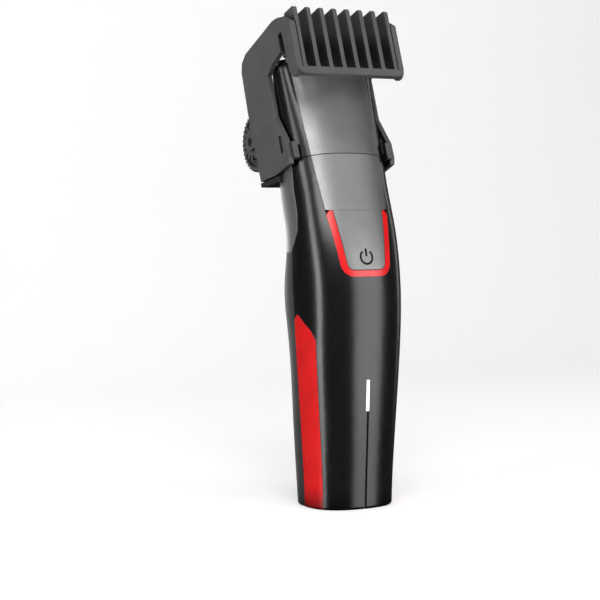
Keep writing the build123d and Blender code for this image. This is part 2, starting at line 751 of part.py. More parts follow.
with BuildPart() as drive_eccentric:
    with BuildSketch(neck_plane(ECCENTRIC_LOW)):
        with Locations((0, MOTOR_AXIS_DEPTH)):
            Circle(2.8)
            Circle(SHAFT_RADIUS, mode=Mode.SUBTRACT)
    extrude(amount=ECCENTRIC_TOP - ECCENTRIC_LOW)
    with BuildSketch(neck_plane(ECCENTRIC_TOP)):
        with Locations((ECCENTRIC_OFFSET, MOTOR_AXIS_DEPTH)):
            Circle(ECCENTRIC_PIN_RADIUS)
    extrude(amount=ECCENTRIC_PIN_LENGTH)
save(drive_eccentric.part, "drive_eccentric")

# ---------------------------------------------------------------- detachable head
head_outer = head_form(0.0, low=HEAD_GAP)
head_inner = head_form(HEAD_WALL, low=HEAD_GAP)

# Space inside the head, carried on above its open top.
top_front, top_back, top_half = HEAD_STATIONS[-1][1:]
with BuildPart() as head_bore:
    add(head_form(HEAD_WALL + 0.05, low=HEAD_GAP))
    with BuildSketch(neck_plane(HEAD_HEIGHT)):
        with Locations((0, (top_front + top_back) / 2)):
            add(rounded_section(top_half - HEAD_WALL - 0.05, (top_back - top_front) / 2 - HEAD_WALL - 0.05))
    extrude(amount=5.0)


def head_front_region(gap):
    """Tapered front face of the head, between its two straight edges, with an open bottom."""
    top_half = PANEL_TOP_HALF + 1.6 - gap
    low_half = PANEL_TOP_HALF - gap
    with BuildPart() as region:
        with BuildSketch(neck_front_plane(HEAD_FACE_DEPTH)):
            with BuildLine():
                Polyline(
                    (-low_half, -1.0),
                    (low_half, -1.0),
                    (top_half, HEAD_HEIGHT + 1.0),
                    (-top_half, HEAD_HEIGHT + 1.0),
                    close=True,
                )
            make_face()
        extrude(amount=WIDE)
    return region.part


head_pocket = head_front_region(0.0) & (head_outer - head_form(PANEL_FLOOR, low=HEAD_GAP))
head_layer = head_outer - head_form(PANEL_THICK, low=HEAD_GAP)

with BuildPart() as head_shell:
    add(head_outer)
    add(head_inner, mode=Mode.SUBTRACT)
    add(head_pocket, mode=Mode.SUBTRACT)
save(head_shell.part, "head_shell")

with BuildPart() as head_front_plate:
    add(head_layer)
    add(head_front_region(SEAM_GAP), mode=Mode.INTERSECT)
save(head_front_plate.part, "head_front_plate")

# Blade frame: own y runs towards the teeth, own z faces forward.
blade_lean = radians(BLADE_LEAN)
blade_front = NECK.from_local_coords((0, BLADE_TIP[0] - cos(blade_lean), BLADE_TIP[1] - sin(blade_lean)))
blade_origin = NECK.from_local_coords((0, *BLADE_TIP))
BLADE = Plane(origin=blade_origin, x_dir=(1, 0, 0), z_dir=blade_front - blade_origin)
BLADE_SCREWS = [(-10.0, -11.0), (10.0, -11.0)]


def on_blade(down, back):
    """Neck-frame (depth, height) of a point down from the teeth and back from the interface."""
    return (
        BLADE_TIP[0] + down * sin(blade_lean) + back * cos(blade_lean),
        BLADE_TIP[1] - down * cos(blade_lean) + back * sin(blade_lean),
    )


# Blade carrier: a deck across the head's top with two slanted seats and a web for the lever's pin.
with BuildPart() as blade_carrier:
    with BuildSketch(neck_plane(DECK_LOW)):
        with Locations((0, 9.5)):
            Rectangle(WIDE, WIDE)
    extrude(amount=DECK_THICK)
    with BuildSketch(neck_side_plane()):
        with BuildLine():
            Polyline(
                on_blade(9.2, 0.0),
                on_blade(BLADE_LENGTH + 0.2, 0.0),
                (on_blade(BLADE_LENGTH + 0.2, 0.0)[0], DECK_LOW + 0.5),
                (12.9, DECK_LOW + 0.5),
                (12.9, 34.5),
                (9.8, 38.6),
                close=True,
            )
        make_face()
    extrude(amount=17.0, both=True)
    add(head_bore.part, mode=Mode.INTERSECT)
    with BuildSketch(neck_plane(DECK_LOW - 1.0)):
        with Locations((0, (LEVER_BACK + 4.0) / 2)):
            Rectangle(15.0, LEVER_BACK - 4.0 + 0.8)
    extrude(amount=12.0, mode=Mode.SUBTRACT)
    with BuildSketch(neck_plane(DECK_LOW + DECK_THICK)):
        with Locations((0, 12.0)):
            Rectangle(15.0, 8.0)
    extrude(amount=12.0, mode=Mode.SUBTRACT)
    with BuildSketch(neck_front_plane(LEVER_BACK + 0.45)):
        with Locations((0, (LEVER_PIVOT_UP - 4.0 + DECK_LOW + 1.0) / 2)):
            Rectangle(10.0, DECK_LOW + 1.0 - LEVER_PIVOT_UP + 4.0)
        with Locations((0, LEVER_PIVOT_UP)):
            Circle(PIVOT_RADIUS, mode=Mode.SUBTRACT)
    extrude(amount=-1.8)
    with BuildSketch(BLADE):
        with Locations(*BLADE_SCREWS):
            Circle(SCREW_RADIUS + 0.02)
    extrude(amount=-5.0, mode=Mode.SUBTRACT)
save(blade_carrier.part, "blade_carrier")


def toothed_plate(plane, half_width, length, setback, thick, teeth, tooth_length):
    """Flat blade whose slots are cut between its teeth, tips at the top."""
    with BuildPart() as plate:
        with BuildSketch(plane):
            with Locations((0, -setback - length / 2)):
                Rectangle(half_width * 2, length)
            with Locations((0, -setback - tooth_length / 2)):
                with GridLocations(TOOTH_PITCH, 1, teeth, 1):
                    Rectangle(TOOTH_SLOT, tooth_length, mode=Mode.SUBTRACT)
        extrude(amount=thick)
    return plate.part


with BuildPart() as fixed_blade:
    add(
        toothed_plate(
            BLADE, BLADE_HALF_WIDTH, BLADE_LENGTH, 0.0, FIXED_BLADE_THICK, FIXED_TEETH, TOOTH_LENGTH
        )
    )
    with BuildSketch(BLADE):
        with Locations(*BLADE_SCREWS):
            Circle(SCREW_RADIUS + 0.1)
        for side in (-1, 1):
            with Locations((side * (BLADE_HALF_WIDTH - 1.0), -BLADE_LENGTH + 2.5)):
                Rectangle(5.0, 5.2)
    extrude(amount=FIXED_BLADE_THICK, mode=Mode.SUBTRACT)
save(fixed_blade.part, "fixed_blade")

cutter_plane = BLADE.offset(-0.02)
with BuildPart() as cutter:
    add(
        toothed_plate(
            cutter_plane,
            TOOTH_PITCH * CUTTER_TEETH / 2 + 0.3,
            CUTTER_LENGTH,
            CUTTER_SETBACK,
            -CUTTER_THICK,
            CUTTER_TEETH,
            TOOTH_LENGTH - CUTTER_SETBACK,
        )
    )
save(cutter.part, "cutter")

# Carrier on the cutter's back: its tail has the slot that the lever's end works in.
with BuildPart() as cutter_carrier:
    with BuildSketch(neck_side_plane()):
        with BuildLine():
            Polyline(
                on_blade(4.2, CUTTER_THICK + 0.02),
                on_blade(8.4, CUTTER_THICK + 0.02),
                (LEVER_FRONT, 38.2),
                (CARRIER_BACK, 38.2),
                (CARRIER_BACK, 40.6),
                (LEVER_FRONT, 42.0),
                close=True,
            )
        make_face()
    extrude(amount=4.0, both=True)
    with BuildSketch(neck_plane(35.0)):
        with Locations((0, (LEVER_FRONT + LEVER_BACK) / 2)):
            Rectangle(2 * LEVER_END_RADIUS + 0.2, LEVER_BACK - LEVER_FRONT + 0.3)
    extrude(amount=10.0, mode=Mode.SUBTRACT)
save(cutter_carrier.part, "cutter_carrier")

with BuildPart() as cutter_spring:
    with BuildLine() as wire:
        Polyline(
            NECK.from_local_coords((-6.0, CARRIER_BACK + 0.42, DECK_LOW + DECK_THICK)),
            NECK.from_local_coords((-6.0, CARRIER_BACK + 0.42, 39.4)),
            NECK.from_local_coords((6.0, CARRIER_BACK + 0.42, 39.4)),
            NECK.from_local_coords((6.0, CARRIER_BACK + 0.42, DECK_LOW + DECK_THICK)),
        )
        fillet(wire.vertices().sort_by(Axis.Z)[2:], 1.5)
    with BuildSketch(Plane(origin=wire.wire() @ 0, z_dir=wire.wire() % 0)):
        Circle(0.35)
    sweep(path=wire.wire())
save(cutter_spring.part, "cutter_spring")

blade_screws = screw(
    BLADE.offset(FIXED_BLADE_THICK),
    BLADE_SCREWS,
    SCREW_HEAD_RADIUS,
    SCREW_HEAD_HEIGHT,
    SCREW_RADIUS,
    FIXED_BLADE_THICK + 3.5,
)
save(blade_screws, "blade_screws")

with BuildPart() as lever_pin:
    with BuildSketch(neck_front_plane(LEVER_FRONT - 0.8)):
        with Locations((0, LEVER_PIVOT_UP)):
            Circle(PIVOT_RADIUS)
    extrude(amount=-(LEVER_BACK - LEVER_FRONT + 3.0))
    with BuildSketch(neck_front_plane(LEVER_FRONT - 0.1)):
        with Locations((0, LEVER_PIVOT_UP)):
            Circle(PIVOT_RADIUS + 0.9)
    extrude(amount=0.7)
save(lever_pin.part, "lever_pin")

# Swing lever: a fork round the eccentric's pin at the bottom, a round end in the cutter carrier.
with BuildPart() as drive_lever:
    with BuildSketch(neck_front_plane(LEVER_FRONT)):
        with BuildLine():
            Polyline(
                (-FORK_OUTER, FORK_LOW + FORK_LENGTH),
                (FORK_OUTER, FORK_LOW + FORK_LENGTH),
                (FORK_OUTER, FORK_LOW + FORK_LENGTH + 2.0),
                (2.6, LEVER_PIVOT_UP),
                (LEVER_END_RADIUS, LEVER_PIVOT_UP + 8.0),
                (LEVER_END_RADIUS, LEVER_TOP),
                (-LEVER_END_RADIUS, LEVER_TOP),
                (-LEVER_END_RADIUS, LEVER_PIVOT_UP + 8.0),
                (-2.6, LEVER_PIVOT_UP),
                (-FORK_OUTER, FORK_LOW + FORK_LENGTH + 2.0),
                close=True,
            )
        make_face()
        with Locations((0, LEVER_TOP)):
            Circle(LEVER_END_RADIUS)
        with Locations((0, LEVER_PIVOT_UP)):
            Circle(3.2)
            Circle(PIVOT_RADIUS + RUNNING_GAP, mode=Mode.SUBTRACT)
    extrude(amount=-(LEVER_BACK - LEVER_FRONT))
    for side in (-1, 1):
        with BuildSketch(neck_front_plane(LEVER_FRONT)):
            with Locations((side * (FORK_OUTER + FORK_INNER) / 2, FORK_LOW + FORK_LENGTH / 2 + 0.5)):
                Rectangle(FORK_OUTER - FORK_INNER, FORK_LENGTH + 1.0)
        extrude(amount=-(MOTOR_AXIS_DEPTH + 2.6 - LEVER_FRONT))
save(drive_lever.part, "drive_lever")


# ---------------------------------------------------------------- comb guard
def outline_part(points, plane, amount, both=False):
    """Solid made by extruding a straight-sided outline from a plane."""
    with BuildPart() as piece:
        with BuildSketch(plane):
            with BuildLine():
                Polyline(*points, close=True)
            make_face()
        extrude(amount=amount, both=both)
    return piece.part


# Side view of one arm (depth, height in the neck frame), from the frame's foot round to the ear.
ARM_OUTLINE = [
    (COMB_FRONT, COMB_LOW + 3.0),
    (COMB_FRONT + 0.6, COMB_LOW + 1.0),
    (COMB_FRONT + 2.0, COMB_LOW),
    (-7.6, COMB_LOW),
    (-6.2, COMB_LOW + 1.6),
    (-5.6, 28.5),
    (-4.6, 43.4),
    (-1.8, 43.0),
    (-1.9, 37.0),
    (5.6, 35.4),
    (10.0, 33.0),
    (10.0, 17.3),
    (5.0, 6.0),
    (4.8, 0.3),
    (5.6, -1.8),
    (15.5, -2.3),
    (27.6, -0.5),
    (28.0, 12.7),
    (28.6, 26.0),
    (28.2, 42.0),
    (26.8, 45.2),
    (23.0, 47.2),
    (10.0, 48.6),
    (0.4, 49.7),
    (-3.3, 49.2),
    (-8.0, 47.6),
    (COMB_FRONT, 44.5),
]
COMB_TOOTH_OUTLINE = [
    (COMB_FRONT, COMB_LOW + 1.5),
    (COMB_FRONT, COMB_TOOTH_TOP - 0.8),
    (COMB_FRONT + 0.6, COMB_TOOTH_TOP),
    (-4.9, COMB_TOOTH_TOP),
    (-4.2, 48.6),
    (-0.9, 46.4),
    (-0.9, 40.0),
    (-7.0, 28.5),
    (-8.4, COMB_LOW + 1.5),
]
frame_opening = ARM_INNER - 1.1
LIFT_STEPS = 6


with BuildPart() as comb_guard:
    # Front frame: bottom bar and two side bars.
    with BuildSketch(neck_front_plane(COMB_FRONT)) as frame_face:
        with Locations((0, (COMB_LOW + 44.5) / 2)):
            Rectangle(2 * (ARM_INNER + ARM_THICK), 44.5 - COMB_LOW)
        fillet(frame_face.vertices().group_by(Axis.Z)[0], 3.0)
        with Locations((0, COMB_LOW + COMB_BAR + WIDE / 2)):
            Rectangle(2 * frame_opening, WIDE, mode=Mode.SUBTRACT)
    extrude(amount=-2.6)
    # Side arms, each one plate with the frame's flange.
    for side in (-1, 1):
        add(outline_part(ARM_OUTLINE, neck_side_plane(side * ARM_INNER), side * ARM_THICK))
    # Teeth.
    for number in range(COMB_TOOTH_COUNT):
        middle = (number - (COMB_TOOTH_COUNT - 1) / 2) * COMB_TOOTH_PITCH
        add(outline_part(COMB_TOOTH_OUTLINE, neck_side_plane(middle), COMB_TOOTH_THICK / 2, both=True))
    with BuildSketch(neck_front_plane(COMB_FRONT)):
        with Locations((-COMB_GROOVE_X, 36.0), (COMB_GROOVE_X, 36.0)):
            Rectangle(COMB_GROOVE_WIDTH, 17.0)
    extrude(amount=-COMB_GROOVE_DEPTH, mode=Mode.SUBTRACT)
    # Ears inside the arms that carry the zoom wheel's axle.
    for side in (-1, 1):
        with BuildSketch(neck_side_plane(side * EAR_INNER)):
            with Locations((WHEEL_DEPTH, WHEEL_UP)):
                Circle(EAR_RADIUS)
            with Locations((WHEEL_DEPTH - EAR_RADIUS / 2 - 2.0, WHEEL_UP)):
                Rectangle(EAR_RADIUS + 4.0, EAR_RADIUS * 2)
            with Locations((WHEEL_DEPTH, WHEEL_UP)):
                Circle(AXLE_RADIUS + RUNNING_GAP, mode=Mode.SUBTRACT)
        extrude(amount=side * (ARM_INNER - EAR_INNER))
    # Guide shoes that ride beside the head, and the slits that make the ears springy.
    for side in (-1, 1):
        add(
            outline_part(
                [(3.6, -0.2), (7.2, -0.2), (7.2, 5.6), (3.8, 5.8)],
                neck_side_plane(side * SHOE_INNER),
                side * (ARM_INNER - SHOE_INNER + 0.3),
            )
        )
    with BuildSketch(neck_side_plane()):
        with Locations((9.0, 6.5)):
            SlotOverall(6.6, 2.0, rotation=90)
    extrude(amount=WIDE, both=True, mode=Mode.SUBTRACT)
    # Room for the head at every height of the guard.
    for step in range(LIFT_STEPS + 1):
        drop = GUARD_LIFT * step / LIFT_STEPS
        head_below = head_form(-SHOE_GAP, low=-4.0).moved(Location(NECK.z_dir * -drop))
        add(head_below, mode=Mode.SUBTRACT)
save(comb_guard.part, "comb_guard")


# ---------------------------------------------------------------- zoom wheel and its carriage
def involute_half_angle(radius, pitch_radius, half_thickness):
    """Half angle of a gear tooth at a radius."""
    pressure = radians(PRESSURE_ANGLE)
    here = acos(min(1.0, pitch_radius * cos(pressure) / radius))
    return half_thickness / pitch_radius + (tan(pressure) - pressure) - (tan(here) - here)


def pinion_outline():
    """Corner points of an involute pinion with a tooth on its own +x axis."""
    pitch_radius = GEAR_MODULE * PINION_TEETH / 2
    half_thickness = pi * GEAR_MODULE / 4 - BACKLASH / 4
    base_radius = pitch_radius * cos(radians(PRESSURE_ANGLE))
    tip_radius = pitch_radius + 0.8 * GEAR_MODULE
    root_radius = pitch_radius - 1.25 * GEAR_MODULE
    flank_radii = [base_radius + (tip_radius - base_radius) * step / 4 for step in range(5)]
    half_tooth = [(r, involute_half_angle(r, pitch_radius, half_thickness)) for r in flank_radii]
    half_tooth.insert(0, (root_radius, half_tooth[0][1]))
    outline = []
    for tooth in range(PINION_TEETH):
        middle = 2 * pi * tooth / PINION_TEETH
        rising = [(r, middle - half) for r, half in half_tooth]
        falling = [(r, middle + half) for r, half in reversed(half_tooth)]
        outline += [(r * cos(angle), r * sin(angle)) for r, angle in rising + falling]
    return outline


# The wheel turns about a crossways axle. Own x of its planes runs back, own y along the neck.
def wheel_plane(x):
    """Plane across the zoom wheel's axle."""
    plane = neck_side_plane(x)
    return Plane(
        origin=plane.from_local_coords((WHEEL_DEPTH, WHEEL_UP, 0)), x_dir=plane.x_dir, z_dir=plane.z_dir
    )


with BuildPart() as zoom_wheel:
    with BuildSketch(wheel_plane(0)):
        Circle(WHEEL_RADIUS)
        with PolarLocations(WHEEL_RADIUS + 0.1, KNURL_COUNT):
            Circle(KNURL_DEPTH, mode=Mode.SUBTRACT)
    extrude(amount=WHEEL_HALF_WIDTH, both=True)
    # Shallow dish in each end face, round the pinion.
    for side in (-1, 1):
        with BuildSketch(wheel_plane(side * WHEEL_HALF_WIDTH)):
            Circle(WHEEL_RADIUS - 1.8)
        extrude(amount=-side * 0.6, mode=Mode.SUBTRACT)
        with BuildSketch(wheel_plane(side * (WHEEL_HALF_WIDTH - 0.6))):
            with BuildLine():
                Polyline(*pinion_outline(), close=True)
            make_face()
        extrude(amount=side * (PINION_END - WHEEL_HALF_WIDTH + 0.6))
    with BuildSketch(wheel_plane(0)):
        Circle(AXLE_RADIUS)
    extrude(amount=WIDE, both=True, mode=Mode.SUBTRACT)
save(zoom_wheel.part, "zoom_wheel")

with BuildPart() as wheel_axle:
    with BuildSketch(wheel_plane(0)):
        Circle(AXLE_RADIUS)
    extrude(amount=ARM_INNER - 0.1, both=True)
save(wheel_axle.part, "wheel_axle")


def rack_outline():
    """Rack with straight-sided teeth facing back, one tooth level with the wheel's axle."""
    pitch = pi * GEAR_MODULE
    pitch_line = WHEEL_DEPTH - GEAR_MODULE * PINION_TEETH / 2
    tip_line = pitch_line + 0.8 * GEAR_MODULE
    half_thickness = pitch / 4 - BACKLASH / 4
    flank = tan(radians(PRESSURE_ANGLE))
    outline = [(RACK_FRONT, RACK_LOW), (RACK_ROOT, RACK_LOW)]
    for number in range(-1, 6):
        middle = WHEEL_UP + number * pitch
        root_half = half_thickness + (pitch_line - RACK_ROOT) * flank
        tip_half = half_thickness - (tip_line - pitch_line) * flank
        outline += [
            (RACK_ROOT, middle - root_half),
            (tip_line, middle - tip_half),
            (tip_line, middle + tip_half),
            (RACK_ROOT, middle + root_half),
        ]
    return outline + [(RACK_ROOT, RACK_HIGH), (RACK_FRONT, RACK_HIGH)]


SADDLE_OUTLINE = [(15.0, -2.6), (28.6, -0.75), (28.6, -2.3), (27.4, -2.7), (15.0, -5.0)]

# Carriage: a saddle behind the neck, under the arms, with the two racks that the wheel climbs.
with BuildPart() as guard_carriage:
    add(outline_part(SADDLE_OUTLINE, neck_side_plane(), SADDLE_HALF_WIDTH, both=True))
    for side in (-1, 1):
        add(outline_part(rack_outline(), neck_side_plane(side * RACK_INNER), side * RACK_WIDTH))
    add(body_form(-0.15), mode=Mode.SUBTRACT)
    add(head_form(-0.15, low=-8.0), mode=Mode.SUBTRACT)
save(guard_carriage.part, "guard_carriage")
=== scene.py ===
import json
from math import cos, pi, radians, sin

import bmesh
import bpy
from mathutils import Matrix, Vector
from mathutils.bvhtree import BVHTree


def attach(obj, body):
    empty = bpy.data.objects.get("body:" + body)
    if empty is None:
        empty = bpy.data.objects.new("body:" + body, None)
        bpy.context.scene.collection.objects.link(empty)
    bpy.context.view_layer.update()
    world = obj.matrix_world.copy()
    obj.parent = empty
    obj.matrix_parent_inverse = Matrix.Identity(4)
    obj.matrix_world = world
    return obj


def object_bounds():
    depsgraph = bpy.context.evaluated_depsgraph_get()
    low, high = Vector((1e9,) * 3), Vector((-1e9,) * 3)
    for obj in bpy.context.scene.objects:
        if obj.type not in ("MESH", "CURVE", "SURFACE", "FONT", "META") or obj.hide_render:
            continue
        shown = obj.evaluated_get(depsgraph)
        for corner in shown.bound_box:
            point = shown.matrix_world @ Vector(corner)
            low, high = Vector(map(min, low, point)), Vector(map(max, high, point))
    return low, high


# Looks of the beard trimmer: a procedural material for every slot, the printed power symbol, and a plain
# pale stage with soft light. Metres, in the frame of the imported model.

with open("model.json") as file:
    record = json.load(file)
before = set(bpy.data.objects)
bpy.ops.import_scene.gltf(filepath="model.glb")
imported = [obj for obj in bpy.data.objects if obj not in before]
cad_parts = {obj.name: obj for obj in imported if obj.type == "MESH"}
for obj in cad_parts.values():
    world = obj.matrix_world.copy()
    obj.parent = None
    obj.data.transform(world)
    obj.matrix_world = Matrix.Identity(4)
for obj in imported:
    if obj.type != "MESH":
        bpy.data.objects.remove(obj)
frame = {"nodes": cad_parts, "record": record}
cad_low, cad_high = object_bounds()

MM = 0.001
HEIGHT = cad_high.z - cad_low.z
AIM = Vector((0.0, 0.0, HEIGHT / 2))


# ---------------------------------------------------------------- shader graphs
BEVEL_SAMPLES = 6
CREVICE_SAMPLES = 6
EDGE_LIKENESS = (0.96, 0.80)  # rounded normal dotted with the plain one, from off the edge to on it
OPEN_AIR = (0.45, 1.0)        # open share of the surroundings, from deep in a crevice to fully open

# Places of the Mix node's colour sockets, which share their names with its other sockets.
MIX_SHARE = 0
MIX_FIRST = 6
MIX_SECOND = 7
MIX_RESULT = 2


class Graph:
    """Short ways to add and join the shader nodes of one material."""

    def __init__(self, name):
        self.name = name
        self.material = bpy.data.materials.new(name + "_finish")
        self.material.use_nodes = True
        self.tree = self.material.node_tree
        self.shader = self.tree.nodes["Principled BSDF"]
        self.place = self.add("ShaderNodeTexCoord").outputs["Object"]

    def feed(self, socket, value):
        """Joins a node's output to a socket, or sets the socket to a plain value."""
        if isinstance(value, bpy.types.NodeSocket):
            self.tree.links.new(value, socket)
        else:
            socket.default_value = value

    def surface(self, name, value):
        """Feeds one named input of the surface shader."""
        self.feed(self.shader.inputs[name], value)

    def add(self, kind, inputs=None, **settings):
        """A new node with its settings made and its inputs fed."""
        node = self.tree.nodes.new(kind)
        for key, value in settings.items():
            setattr(node, key, value)
        for key, value in (inputs or {}).items():
            self.feed(node.inputs[key], value)
        return node

    def math(self, operation, first, second=0.0):
        """One value worked out from two."""
        return self.add("ShaderNodeMath", {0: first, 1: second}, operation=operation).outputs[0]

    def ramp(self, value, low, high, start=0.0, end=1.0):
        """A value's low to high range, clamped and eased to start to end."""
        inputs = {"Value": value, "From Min": low, "From Max": high, "To Min": start, "To Max": end}
        return self.add("ShaderNodeMapRange", inputs, interpolation_type="SMOOTHSTEP").outputs["Result"]

    def noise(self, size, detail=2.0, stretch=(1.0, 1.0, 1.0)):
        """Noise from 0 to 1 with features of about this size."""
        mapping = self.add("ShaderNodeMapping", {"Vector": self.place, "Scale": stretch})
        inputs = {"Vector": mapping.outputs[0], "Scale": 1 / size, "Detail": detail}
        return self.add("ShaderNodeTexNoise", inputs).outputs["Fac"]

    def flakes(self, size):
        """A random value from 0 to 1 for each cell of about this size."""
        cells = self.add("ShaderNodeTexVoronoi", {"Vector": self.place, "Scale": 1 / size})
        return self.add("ShaderNodeSeparateColor", {"Color": cells.outputs["Color"]}).outputs["Red"]

    def blend(self, share, first, second):
        """A colour between two, by a share from 0 to 1."""
        inputs = {MIX_SHARE: share, MIX_FIRST: first, MIX_SECOND: second}
        return self.add("ShaderNodeMix", inputs, data_type="RGBA").outputs[MIX_RESULT]

    def rounded(self, radius):
        """Surface normal with every edge rounded by this radius."""
        return self.add("ShaderNodeBevel", {"Radius": radius}, samples=BEVEL_SAMPLES).outputs[0]

    def edges(self, radius):
        """1 along an edge, easing to 0 at about this distance from it."""
        plain = self.add("ShaderNodeNewGeometry").outputs["Normal"]
        inputs = {0: self.rounded(radius), 1: plain}
        likeness = self.add("ShaderNodeVectorMath", inputs, operation="DOT_PRODUCT").outputs["Value"]
        return self.ramp(likeness, *EDGE_LIKENESS)

    def open_air(self, reach):
        """1 out in the open, easing to 0 deep in a crevice of about this width."""
        inputs = {"Distance": reach}
        hidden = self.add("ShaderNodeAmbientOcclusion", inputs, samples=CREVICE_SAMPLES).outputs["AO"]
        return self.ramp(hidden, *OPEN_AIR)

    def bump(self, height, depth, normal):
        """Normal with a height field of this depth on it."""
        inputs = {"Height": height, "Distance": depth, "Strength": 1.0, "Normal": normal}
        return self.add("ShaderNodeBump", inputs).outputs[0]


def colour(level, tint=(1.0, 1.0, 1.0)):
    """Opaque colour of this brightness."""
    return (level * tint[0], level * tint[1], level * tint[2], 1.0)


def shaded(base, share):
    """The same colour at a share of its brightness."""
    return tuple(share * channel for channel in base[:3]) + (1.0,)


# ---------------------------------------------------------------- finishes
MIDDLE = (0.3, 0.7)  # the part of a noise's range that most of it falls in
EDGE_RADIUS = 0.14 * MM
WEAR_REACH = 0.35 * MM
# Width of the crevices that get painted shade.
PAINTED_SHADE_REACH = 9.0 * MM

MOTTLE_SIZE = 9.0 * MM
MOTTLE_SHADE = 0.86
# Colour deep in a crevice as a share of the base: painted shade.
PAINTED_CREVICE_SHADE = 0.12
RUB_SIZE = 1.1 * MM
RUB_RANGE = (0.45, 0.62)
RUB_SHARE = 0.7
RUB_ROUGHNESS = 0.12
HANDLED_SIZE = 7.0 * MM
HANDLED_RANGE = (0.2, 0.8)
HANDLED_STRETCH = (1.0, 1.0, 0.4)
HANDLED_LOW = 0.94
HANDLED_HIGH = 1.08
MOULDED_COAT_ROUGHNESS = 0.06


def moulded(slot, base, worn, roughness, grain, depth, coat=0.0):
    """Moulded plastic: mottled colour, painted shade in crevices, handled gloss, spark grain and rubbed
    edges.
    """
    graph = Graph(slot)
    shade = graph.ramp(graph.noise(MOTTLE_SIZE, 3.0), *MIDDLE)
    mottled = graph.blend(shade, shaded(base, MOTTLE_SHADE), base)
    # Painted shade: the colour darkens deep in crevices and recesses, where shade falls.
    body = graph.blend(graph.open_air(PAINTED_SHADE_REACH), shaded(base, PAINTED_CREVICE_SHADE), mottled)
    patches = graph.ramp(graph.noise(RUB_SIZE, 4.0), *RUB_RANGE)
    wear = graph.math("MULTIPLY", graph.edges(WEAR_REACH), patches)
    graph.surface("Base Color", graph.blend(graph.math("MULTIPLY", wear, RUB_SHARE), body, worn))
    cloud = graph.noise(HANDLED_SIZE, 2.0, HANDLED_STRETCH)
    handled = graph.ramp(cloud, *HANDLED_RANGE, HANDLED_LOW * roughness, HANDLED_HIGH * roughness)
    rubbed = graph.math("MULTIPLY", wear, RUB_ROUGHNESS)
    graph.surface("Roughness", graph.math("ADD", handled, rubbed))
    graph.surface("Normal", graph.bump(graph.noise(grain, 3.0), depth, graph.rounded(EDGE_RADIUS)))
    graph.surface("Coat Weight", coat)
    graph.surface("Coat Roughness", MOULDED_COAT_ROUGHNESS)
    return graph


FLAKE_SIZE = 0.09 * MM
FLAKE_DEPTH = 0.0016 * MM
FLAKE_RANGE = (0.55, 1.0)
FLAKE_SHARE = 0.6
CHIP_SIZE = 1.3 * MM
CHIP_RANGE = (0.42, 0.6)
CHIP_SHARE = 0.5
PAINT_CLOUD_SIZE = 7.0 * MM
PAINT_CLOUD_LOW = 0.9
PAINT_CLOUD_HIGH = 1.12
PAINT_COAT = 0.12
PAINT_COAT_ROUGHNESS = 0.28


def painted(slot, base, spark, roughness, metallic):
    """Metallic paint: fine flakes under a clear coat, with rubbed edges."""
    graph = Graph(slot)
    flake = graph.flakes(FLAKE_SIZE)
    body = graph.blend(graph.ramp(flake, *FLAKE_RANGE, 0.0, FLAKE_SHARE), base, spark)
    patches = graph.ramp(graph.noise(CHIP_SIZE, 4.0), *CHIP_RANGE)
    wear = graph.math("MULTIPLY", graph.edges(WEAR_REACH), patches)
    graph.surface("Base Color", graph.blend(graph.math("MULTIPLY", wear, CHIP_SHARE), body, spark))
    cloud = graph.noise(PAINT_CLOUD_SIZE, 4.0)
    gloss = graph.ramp(cloud, *MIDDLE, PAINT_CLOUD_LOW * roughness, PAINT_CLOUD_HIGH * roughness)
    graph.surface("Roughness", gloss)
    graph.surface("Normal", graph.bump(flake, FLAKE_DEPTH, graph.rounded(EDGE_RADIUS)))
    graph.surface("Metallic", metallic)
    graph.surface("Coat Weight", PAINT_COAT)
    graph.surface("Coat Roughness", PAINT_COAT_ROUGHNESS)
    return graph


LINE_WIDTH = 0.12 * MM
LINES_ACROSS = (0.05, 1.0, 1.0)
EVEN_GRAIN = (1.0, 1.0, 1.0)
DULL_SHADE = 0.72
METAL_CLOUD_SIZE = 2.5 * MM
METAL_CLOUD_LOW = 0.8
METAL_CLOUD_HIGH = 1.25
METAL_EDGE_RADIUS = 0.06 * MM


def metal(slot, base, roughness, stretch, depth):
    """Ground or plated metal: fine lines along one direction, with clouding."""
    graph = Graph(slot)
    lines = graph.noise(LINE_WIDTH, 2.0, stretch)
    graph.surface("Base Color", graph.blend(graph.ramp(lines, *MIDDLE), shaded(base, DULL_SHADE), base))
    cloud = graph.noise(METAL_CLOUD_SIZE, 3.0)
    gloss = graph.ramp(cloud, *MIDDLE, METAL_CLOUD_LOW * roughness, METAL_CLOUD_HIGH * roughness)
    graph.surface("Roughness", gloss)
    graph.surface("Normal", graph.bump(lines, depth, graph.rounded(METAL_EDGE_RADIUS)))
    graph.surface("Metallic", 1.0)
    return graph


PIPE_ROUGHNESS = 0.22
PIPE_GRAIN = 0.5 * MM
PIPE_GRAIN_DEPTH = 0.002 * MM
PIPE_COAT = 0.3
# Patch size and strengths of the painted glow.
PAINTED_GLOW_SIZE = 2.0 * MM
PAINTED_GLOW_LOW = 0.35
PAINTED_GLOW_HIGH = 0.5


def light_pipe(slot, base):
    """Milky clear plastic with a little painted glow of its own."""
    graph = moulded(slot, base, base, PIPE_ROUGHNESS, PIPE_GRAIN, PIPE_GRAIN_DEPTH, PIPE_COAT)
    # Painted glow: the plastic emits a little light of its own, patchy across it.
    graph.surface("Emission Color", base)
    graph.surface("Emission Strength", graph.ramp(graph.noise(PAINTED_GLOW_SIZE), *MIDDLE, PAINTED_GLOW_LOW, PAINTED_GLOW_HIGH))
    return graph


RED = (1.0, 0.010, 0.012)
RED_RUBBED = (1.0, 0.06, 0.06)
BOARD_GREEN = (0.12, 1.0, 0.3)
BOARD_RUBBED = (0.5, 1.0, 0.5)
BATTERY_BLUE = (0.06, 0.3, 1.0)
BATTERY_RUBBED = (0.3, 0.5, 1.0)
WIRE_RED = (1.0, 0.06, 0.05)
WIRE_RUBBED = (1.0, 0.2, 0.2)
NICKEL = (1.0, 0.97, 0.9)

